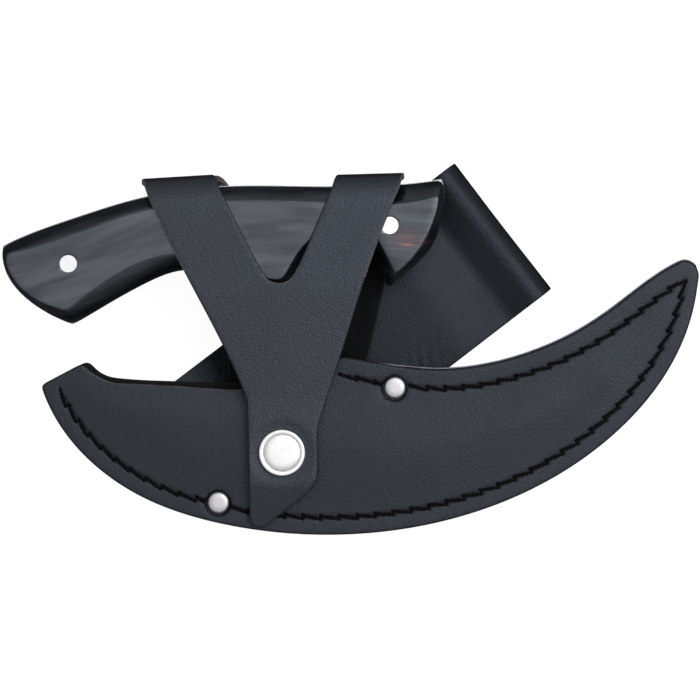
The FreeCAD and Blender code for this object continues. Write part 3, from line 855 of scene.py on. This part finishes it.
CREST_X = (-58.3, -38.3, -3.6, 15.2)  # sides of the two arms where they turn over the handle
BETWEEN_ARMS = -22.0
NOTCH_X = -19.8  # bottom of the notch between the arms
ARM_SKEW = 3.2  # how far the left arm's inner side slants off behind the handle
WALL_Y = FOLD_Y - STRAP / 2
TOP_MID = STRAP_TOP - STRAP / 2  # heights of the leather's middle, on its flat stretches
BACK_MID = STRAP_LOW + STRAP / 2
SNAP_MID = box_mm("snap_socket")[1][2] + STRAP / 2
ROOT_MID = box_mm("strap_back")[1][2] - STRAP / 2
BEND_MID_R = FOLD_Y - STRAP_CUT_Y - STRAP / 2
WALL_TOP = TOP_MID - 4.6 - STRAP_MID_Z  # from the crest's middle to where either bend begins
CREST_DROP = 2.3  # how far the leather sinks before it turns over the handle
CREST_TILTS = ((-43.5, 0.060), (-13.6, 0.028))  # where each arm's crest is level with the fold, and its slope
TIP_Y = box_mm("strap_flap")[0][1]


class StrapSide(Unrolled):
    """One side of the strap, unrolled: plan points are (x, length from the crest)."""

    def __init__(self, node, facing, corners, radii):
        super().__init__(rounded([(WALL_Y, STRAP_MID_Z)] + corners, [BEND_MID_R] + radii))
        self.facing = facing
        plan = edge_loop(node, facing)
        self.loop = self.with_arms(np.column_stack([plan[:, 0], self.along(plan[:, 1])]), -ARM_SKEW * facing)

    def along(self, y):
        """Length from the crest to the points at y on the flat of the strap."""
        flat = self.path[:, 0] <= STRAP_CUT_Y + 0.01
        return np.interp(-y, -self.path[flat][:, 0], self.length[flat])

    def with_arms(self, loop, skew):
        """The loop with its two cut arms carried on to the crest."""
        cut = np.abs(loop[:, 1] - self.along(STRAP_CUT_Y)) < 0.05
        sides = np.sort(loop[cut][:, 0])
        order = [int(np.argmin(np.abs(sides - x))) for x in loop[:, 0]]
        out = []
        for i, (x, s) in enumerate(loop):
            j = (i + 1) % len(loop)
            out.append((x + (max(skew, 0) if cut[i] and order[i] == 1 else 0), s))
            if cut[i] and cut[j]:
                a, b = CREST_X[order[i]], CREST_X[order[j]]
                out += [(a, WALL_TOP), (a, 0.0), (b, 0.0), (b, WALL_TOP)]
        out = np.array(out)
        return resample(out if area(out) > 0 else out[::-1], 1)

    def place(self, plan, h):
        y, z = self.at(plan[:, 1], -h * self.facing)
        (left, left_slope), (right, right_slope) = CREST_TILTS
        x = plan[:, 0]
        tilt = np.where(x < BETWEEN_ARMS, left_slope * (x - left), right_slope * (x - right))
        tilt *= ease(6, 14, np.abs(x - BETWEEN_ARMS)) * ease(24, 10, plan[:, 1])
        return np.column_stack([x, y + tilt, z])

    def radius(self, edge):
        """Rounding of the cut edge: next to none where the two sides of the strap join at the crest."""
        return np.where(self.loop[:, 1] < 0.35, 0.02, edge)


front = StrapSide("strap_flap", 1,
                  [(WALL_Y, TOP_MID - CREST_DROP), (42.8, TOP_MID), (16.0, TOP_MID), (-14.0, SNAP_MID),
                   (-37.0, SNAP_MID), (TIP_Y - 2.0, FACE_Z + 1.4)], [14.0, 60.0, 60.0, 14.0])
rear = StrapSide("strap_back", -1, [(WALL_Y, BACK_MID), (14.0, BACK_MID), (-4.0, ROOT_MID), (-46.0, ROOT_MID)],
                 [30.0, 30.0])


def flap_relief(plan):
    """Leather drawn down under the snap's rim, and a slight swell elsewhere."""
    r = norms(plan - [SNAP[0], front.along(SNAP[1])])
    return -0.30 * ease(10.0, 6.8, r) + 0.10 * waves(plan, 16, 7) * ease(6.0, 12.0, r) * ease(6.0, 14.0, plan[:, 1])


def outer_edge(loop):
    """The outer sides of the two arms and the notch between them, where the raw edge shows."""
    x, s = loop.T
    normal = -inward(loop)
    left = (x < -30) & (normal[:, 0] < -0.2)
    right = (x > -2) & (normal[:, 0] > 0.2)
    notch = (np.abs(x - NOTCH_X) < 5) & (s < 48) & (normal[:, 1] < -0.2)
    return (s > 3) & (s < 34) & (left | right) | (s > 30) & notch


def skewed_edge(loop):
    """The slanting side of the left arm, just behind the crest."""
    return (loop[:, 1] < 14) & (np.abs(loop[:, 0] + 36) < 6)


strap_front = leather("strap_front", front.loop, STRAP, front.place, [STRAP_LEATHER, BURNISHED, FLESH_AND_SHADE, RAW_EDGE],
                      relief=flap_relief, under=lambda p: -flap_relief(p), edge=front.radius(0.42), step=1.0,
                      edge_slot=outer_edge)
strap_rear = leather("strap_rear", rear.loop, STRAP, rear.place, [STRAP_LEATHER, BURNISHED, FLESH_AND_SHADE, RAW_EDGE],
                     edge=rear.radius(0.42), step=1.2, edge_slot=skewed_edge)
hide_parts("strap_flap")
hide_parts("strap_back", "strap_bends")
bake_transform(strap_front)
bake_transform(strap_rear)
strap_stitches = sew("strap_stitches", whole(stitch_spots("strap_thread")), ROOT_MID - STRAP / 2, -1, 13)
stand_for(strap_stitches, "strap_thread", "sheath")


# Belt loop -------------------

LOOP_SIDES = (-23.0, 20.9)  # sides of the strip, measured square to it
LOOP_FLARE = 0.9  # how much wider the strip is at its fold
LOOP_END = 55.6  # crest of the fold, along the strip
LOOP_HEM = -50.0  # sewn end, along the strip
LOOP_SEAM = -43.0  # where the strip leaves the sheath's back
LOOP_TOP = 9.4  # height of the inner leg's upper side
LOOP_INNER_MID = LOOP_TOP - PANEL / 2
LOOP_SEWN = box_mm("belt_loop")[1][2]


def loop_path():
    """The strip's middle line in (along, z): over the inner leg, round the fold, and back along the outer leg."""
    end = LOOP_END - PANEL / 2
    high, low = LOOP_INNER_MID, PANEL / 2
    corners = [(LOOP_HEM, LOOP_SEWN - PANEL / 2), (LOOP_SEAM, LOOP_SEWN - PANEL / 2), (-27.0, high + 0.1),
               (28.0, high + 0.2), (41.0, high - 2.6), (49.8, high), (end, high - 0.2), (end, low),
               (-24.0, low), (LOOP_SEAM, LOOP_SEWN - PANEL * 1.5), (LOOP_HEM, LOOP_SEWN - PANEL * 1.5)]
    return rounded(corners, [12.0, 30.0, 40.0, 10.0, 4.0, 3.3, 3.4, 20.0, 12.0])


class LoopStrip(Unrolled):
    """The belt loop unrolled: plan points are (across, length along the strip)."""

    def __init__(self):
        super().__init__(loop_path())
        (a, b), end = LOOP_SIDES, self.length[-1]
        self.loop = resample(np.array([(a, 0), (b, 0), (b, end), (a, end)], float), 1)

    def place(self, plan, h):
        along, z = self.at(plan[:, 1], h)
        across = plan[:, 0] - LOOP_FLARE * ease(15, 50, along) * ease(0, -20, plan[:, 0])
        c, s = math.cos(LOOP_ANGLE), math.sin(LOOP_ANGLE)
        return np.column_stack([along * c + across * s, along * s - across * c, z])


strip = LoopStrip()


def loop_relief(plan):
    """Soft swell, and a few creases near the lower side where the strip leaves the sheath."""
    across, along = plan.T
    bend = 4.0 * np.sin(across / 9.0)
    crease = np.sin((along + 0.55 * across + bend) * 2 * math.pi / 3.4)
    where = bell(across - 15.0, 5.0) * bell(along - 64.0, 8.0)
    return 0.20 * waves(plan, 24, 9) - 0.09 * crease * where


belt_loop = leather("belt_loop_strip", strip.loop, PANEL, strip.place, [LOOP_LEATHER, BURNISHED, FLESH_AND_SHADE],
                    relief=loop_relief, edge=0.38, step=1.1)
loop_stitches = sew("belt_loop_stitches", whole(stitch_spots("belt_loop_thread")), LOOP_SEWN - 2 * PANEL, -1, 14)
stand_for(belt_loop, "belt_loop", "sheath")
stand_for(loop_stitches, "belt_loop_thread", "sheath")


# Knife -----------------------

TANG_REVEAL = 0.26  # how far the steel stands out from the scales along the back of the handle
SCALE_LOW, SCALE_HIGH = (box_mm("handle_scale_front")[i][2] for i in (0, 1))
SCALE_SIDE = 1.5  # upright part of a scale's side
SCALE_EDGE = 0.04  # how far the wood, soft from wear, lies within the CAD scale
MIRROR = SCALE_LOW + box_mm("handle_scale_back")[1][2]  # a height and its mirror image add up to this
HANDLE_HEEL = (-97.2, 29.3)  # lower left corner of the handle
HANDLE_TOE = (10.9, 17.8)  # its corner beside the sheath's mouth


def handle_scale(name, node, facing):
    """Handle scale with its bevel soft from wear, from the outlines of the CAD scale's foot and face."""
    low, high = (SCALE_LOW, SCALE_HIGH) if facing > 0 else (MIRROR - SCALE_LOW, MIRROR - SCALE_HIGH)
    foot = runs_of(edge_loop(node, -facing, low), HANDLE_HEEL)
    face = runs_of(edge_loop(node, facing, high), HANDLE_HEEL)
    counts = [max(4, round(lengths(run)[-1] / 0.8)) for run in foot]
    foot = soften(np.vstack([even(run, n) for run, n in zip(foot, counts)]), 4)
    face = soften(np.vstack([even(run, n) for run, n in zip(face, counts)]), 6)
    lift = inward(foot)
    back = ease(0.45, 0.9, -lift @ np.array([0.0, 1.0]))
    foot = foot + lift * (TANG_REVEAL * back - SCALE_EDGE)[:, None]
    foot = foot - lift * (0.75 * bell(norms(foot - HANDLE_TOE), 1.3))[:, None]
    n = len(foot)
    side_z = SCALE_LOW + SCALE_SIDE
    profile = [(0, 0, SCALE_LOW), (0, 0, side_z - 0.8), (0.02, 0, side_z - 0.2), (0.07, 0, side_z + 0.45),
               (0.16, 0, side_z + 1.15), (0.4, 0, side_z + 2.55), (0.62, 0, side_z + 3.75)]
    for t in np.linspace(0, 1, 6):
        u, v, w = (1 - t) ** 2, 2 * t * (1 - t), t * t
        profile.append((0.84 * u + v + w, 0.45 * w, (SCALE_HIGH - 0.80) * u + (SCALE_HIGH - SCALE_EDGE) * (v + w)))
    inner = inward(face)
    rings = [foot * (1 - t) + face * t + inner * d for t, d, z in profile]
    heights = np.concatenate([np.full(n, z) for _, _, z in profile])
    ring = rings[-1]
    extra = np.vstack([rings_round(pin, (1.2, 2.1, 2.25, 2.5, 3.2), 0.5) for pin in PINS.values()])
    flat, triangles = fill(ring, extra, ring, 1.6, 0.9, 1.1)
    plan = np.vstack(rings[:-1] + [flat])
    z = np.concatenate([heights[:-n], np.full(len(flat), SCALE_HIGH - SCALE_EDGE)])
    for pin in PINS.values():
        z = np.where(norms(plan - pin) < 2.2, SCALE_HIGH - 0.6, z)
    if facing < 0:
        z = MIRROR - z
    faces = []
    for k in range(len(rings) - 1):
        faces += [quad[::facing] for quad in band(k * n, (k + 1) * n, n)]
    base = (len(rings) - 1) * n
    faces += [[base + v for v in t][::facing] for t in triangles]
    faces.append(list(range(n))[::-facing])
    spine = np.interp(plan[:, 0], [-97, -75, -50, -20, 5, 26], [17, 24, 33, 33, 33, 31])
    uv = np.column_stack([plan[:, 0], plan[:, 1] - spine + 3.0 * z / 10]) / UV_UNIT
    return make(name, np.column_stack([plan, z]), faces, [WOOD], uvs=np.vstack([uv[face] for face in faces]))


for node, facing in (("handle_scale_front", 1), ("handle_scale_back", -1)):
    piece = handle_scale(node.replace("handle_scale", "scale"), node, facing)
    stand_for(piece, node, "knife")


# Snap ------------------------

def snap_profile(z):
    """Plain pressed cap: a rolled rim, a groove, and a low dome."""
    return rounded([(0.0, z + 1.22), (3.2, z + 1.20), (SNAP_R - 1.62, z + 1.12), (SNAP_R - 1.50, z + 0.40),
                    (SNAP_R - 1.32, z + 1.12), (SNAP_R - 0.12, z + 1.12), (SNAP_R, z + 0.3),
                    (SNAP_R - 0.35, z - 0.3), (1.5, z - 0.3), (1.5, z - 2.2), (0.0, z - 2.2)],
                   [20.0, 0.14, 0.05, 0.14, 0.40, 0.3, 0.15, 0.1, 0.1], 0.08)


snap_z = box_mm("snap_cap")[1][2] - 1.4
snap_cap = lathe("snap_cap_turned", SNAP, snap_profile(snap_z), [SNAP_METAL], 128)
stand_for(snap_cap, "snap_cap", "flap")

# What stays as the CAD made it, in a better finish
for node, metal in (("blade", BLADE_METAL), ("handle_pin_left", PIN_METAL), ("handle_pin_right", PIN_METAL),
                    ("snap_stud", SNAP_METAL), ("snap_post", SNAP_METAL), ("snap_socket", SNAP_METAL)):
    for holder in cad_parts[node].material_slots:
        holder.material = metal


# Studio ----------------------

VIEW_WIDTH = 196.0  # mm across the picture
CAMERA_UP = 2000.0  # mm from the camera to the level it is framed at
FRAMED_Z = 24.0
SENSOR = 36.0
SKY_AXIS = (0.15, 0.20, 1.0)  # where the sky is brightest
SKY_STRENGTH = 1.45
SKY_SHADES = ((98, 0.03), (90, 0.14), (80, 0.30), (66, 0.27), (45, 0.30), (30, 0.50), (15, 0.85))
FLOOR_REACH, WALL_HEIGHT, FLOOR_SWEEP = 4200.0, 1700.0, 1200.0


def studio_floor():
    """Pale floor that sweeps up into a wall all round."""
    section = rounded([(0.0, 0.0), (FLOOR_REACH, 0.0), (FLOOR_REACH, WALL_HEIGHT)], [FLOOR_SWEEP], 100.0)
    count = 64
    points, faces = [(0.0, 0.0, 0.0)], []
    for r, z in section[1:]:
        points += [(r * math.cos(2 * math.pi * i / count), r * math.sin(2 * math.pi * i / count), z)
                   for i in range(count)]
    for i in range(count):
        j = (i + 1) % count
        faces.append((0, 1 + i, 1 + j))
        for k in range(len(section) - 2):
            a = 1 + k * count
            faces.append((a + i, a + count + i, a + count + j, a + j))
    finish = Finish("pale_floor", Base_Color=rgb(0.22, 0.22, 0.22), Roughness=0.9, Specular_IOR_Level=0.0,
                    Emission_Color=rgb(1, 1, 1), Emission_Strength=0.92)
    mesh = bpy.data.meshes.new("floor")
    mesh.from_pydata((np.array(points) * MM).tolist(), [], faces)
    mesh.materials.append(finish.material)
    floor = add("floor", mesh)
    floor.visible_glossy = False


def studio_sky():
    """Soft light from above, falling off to the sides."""
    world = bpy.data.worlds.new("studio")
    bpy.context.scene.world = world
    sky = Nodes(world)
    direction = sky.node("TexCoord").outputs["Generated"]
    dot = sky.node("VectorMath", {0: direction, 1: Vector(SKY_AXIS).normalized()}, operation="DOT_PRODUCT")
    half = sky.node("Math", {0: dot.outputs["Value"], 1: 0.5, 2: 0.5}, operation="MULTIPLY_ADD")
    ramp = sky.node("ValToRGB", {0: half.outputs[0]})
    first, last = ramp.color_ramp.elements
    first.color, last.color = rgb(0.02, 0.02, 0.02), rgb(1, 1, 1)
    for off_axis, value in SKY_SHADES:
        position = (1 + math.cos(math.radians(off_axis))) / 2
        ramp.color_ramp.elements.new(position).color = rgb(value, value, value)
    background = sky.tree.nodes["Background"].inputs
    sky.tree.links.new(ramp.outputs[0], background["Color"])
    background["Strength"].default_value = SKY_STRENGTH


def softbox(name, at, size, power):
    """Square area light that faces the object and isn't seen itself."""
    light = bpy.data.lights.new(name, "AREA")
    light.size = size * MM
    light.energy = power
    lamp = add(name, light)
    lamp.location = Vector(at) * MM
    lamp.rotation_euler = (Vector((0, 0, FRAMED_Z)) - Vector(at)).to_track_quat("-Z", "Y").to_euler()
    lamp.visible_camera = False


def photo_camera():
    camera = add("camera", bpy.data.cameras.new("camera"))
    camera.data.sensor_width = SENSOR
    camera.data.lens = SENSOR * CAMERA_UP / VIEW_WIDTH
    camera.location = (0, 0, (CAMERA_UP + FRAMED_Z) * MM)
    camera.data.clip_start, camera.data.clip_end = 0.05, 20
    bpy.context.scene.camera = camera


studio_floor()
studio_sky()
softbox("key", at=(200, 120, 500), size=280, power=0.72)
photo_camera()
bpy.context.scene.view_settings.view_transform = "Standard"
